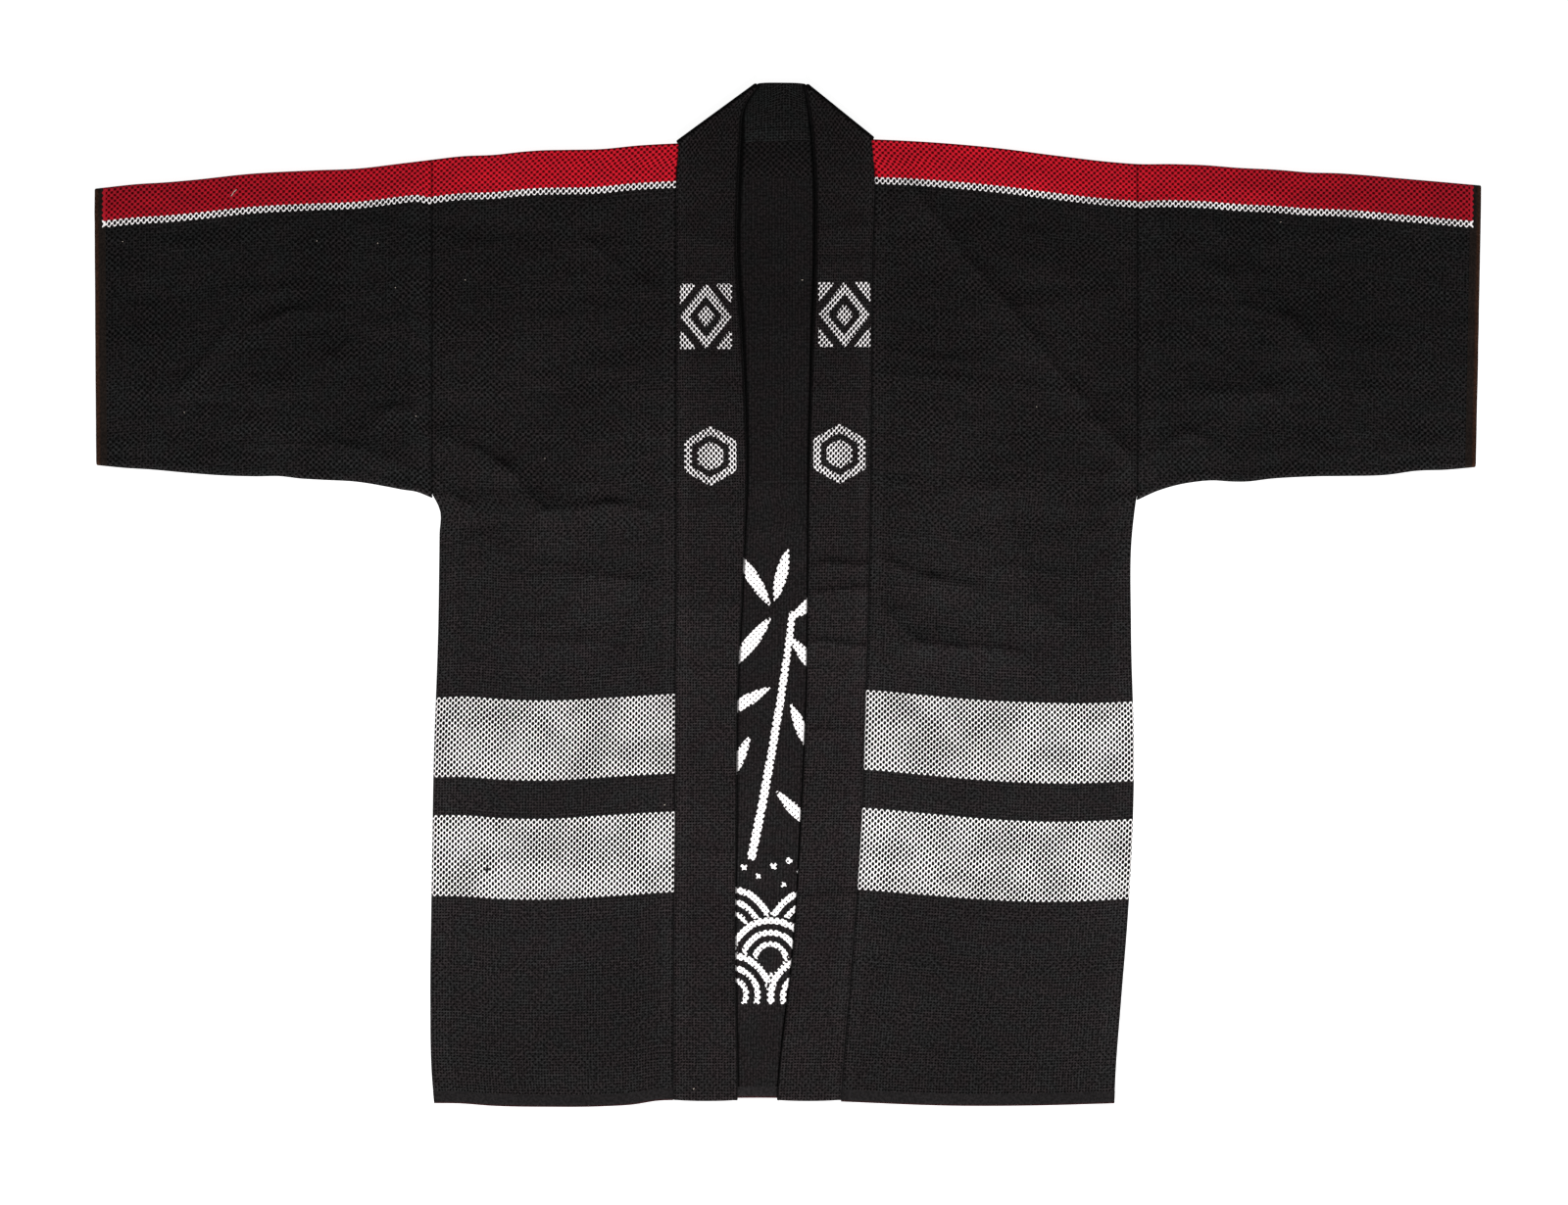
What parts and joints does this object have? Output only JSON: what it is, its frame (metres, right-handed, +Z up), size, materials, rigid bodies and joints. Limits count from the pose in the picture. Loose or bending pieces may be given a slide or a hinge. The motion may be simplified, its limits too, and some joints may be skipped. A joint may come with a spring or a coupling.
{
  "type": "japanese hanten coat",
  "caption": "Short wide-sleeved Japanese coat of heavy sashiko cotton with a folded collar band, laid flat with its front up.",
  "frame": {"origin": "on the surface the coat lies on, under the middle of its outline", "axes": "+X towards the wearer's left sleeve, +Y from the hem to the neck, +Z up off the surface"},
  "size_m": [1.261, 0.932, 0.0087],
  "materials": {
    "back_cloth": "black sashiko cotton, dotted weave",
    "back_hem_cloth": "black plain cotton, turned hem",
    "front_right_cloth": "black sashiko cotton with a red shoulder band and two white dotted hip bands",
    "front_right_hem_cloth": "black plain cotton, turned hem",
    "front_left_cloth": "black sashiko cotton with a red shoulder band and two white dotted hip bands",
    "front_left_hem_cloth": "black plain cotton, turned hem",
    "sleeve_right_cloth": "black sashiko cotton with a red shoulder band",
    "cuff_right_cloth": "black plain cotton, turned hem",
    "sleeve_left_cloth": "black sashiko cotton with a red shoulder band",
    "cuff_left_cloth": "black plain cotton, turned hem",
    "collar_right_cloth": "charcoal sashiko cotton with white dotted motifs",
    "collar_left_cloth": "charcoal sashiko cotton with white dotted motifs",
    "collar_neck_cloth": "charcoal sashiko cotton, inner face up"
  },
  "bodies": {
    "root": {"back_panel": "back_cloth", "hem_back": "back_hem_cloth", "front_right": "front_right_cloth", "hem_front_right": "front_right_hem_cloth", "front_left": "front_left_cloth", "hem_front_left": "front_left_hem_cloth", "sleeve_right": "sleeve_right_cloth", "cuff_hem_right": "cuff_right_cloth", "sleeve_left": "sleeve_left_cloth", "cuff_hem_left": "cuff_left_cloth", "collar_front_right": "collar_right_cloth", "collar_front_left": "collar_left_cloth", "collar_neck": "collar_neck_cloth"}
  },
  "joints": []
}
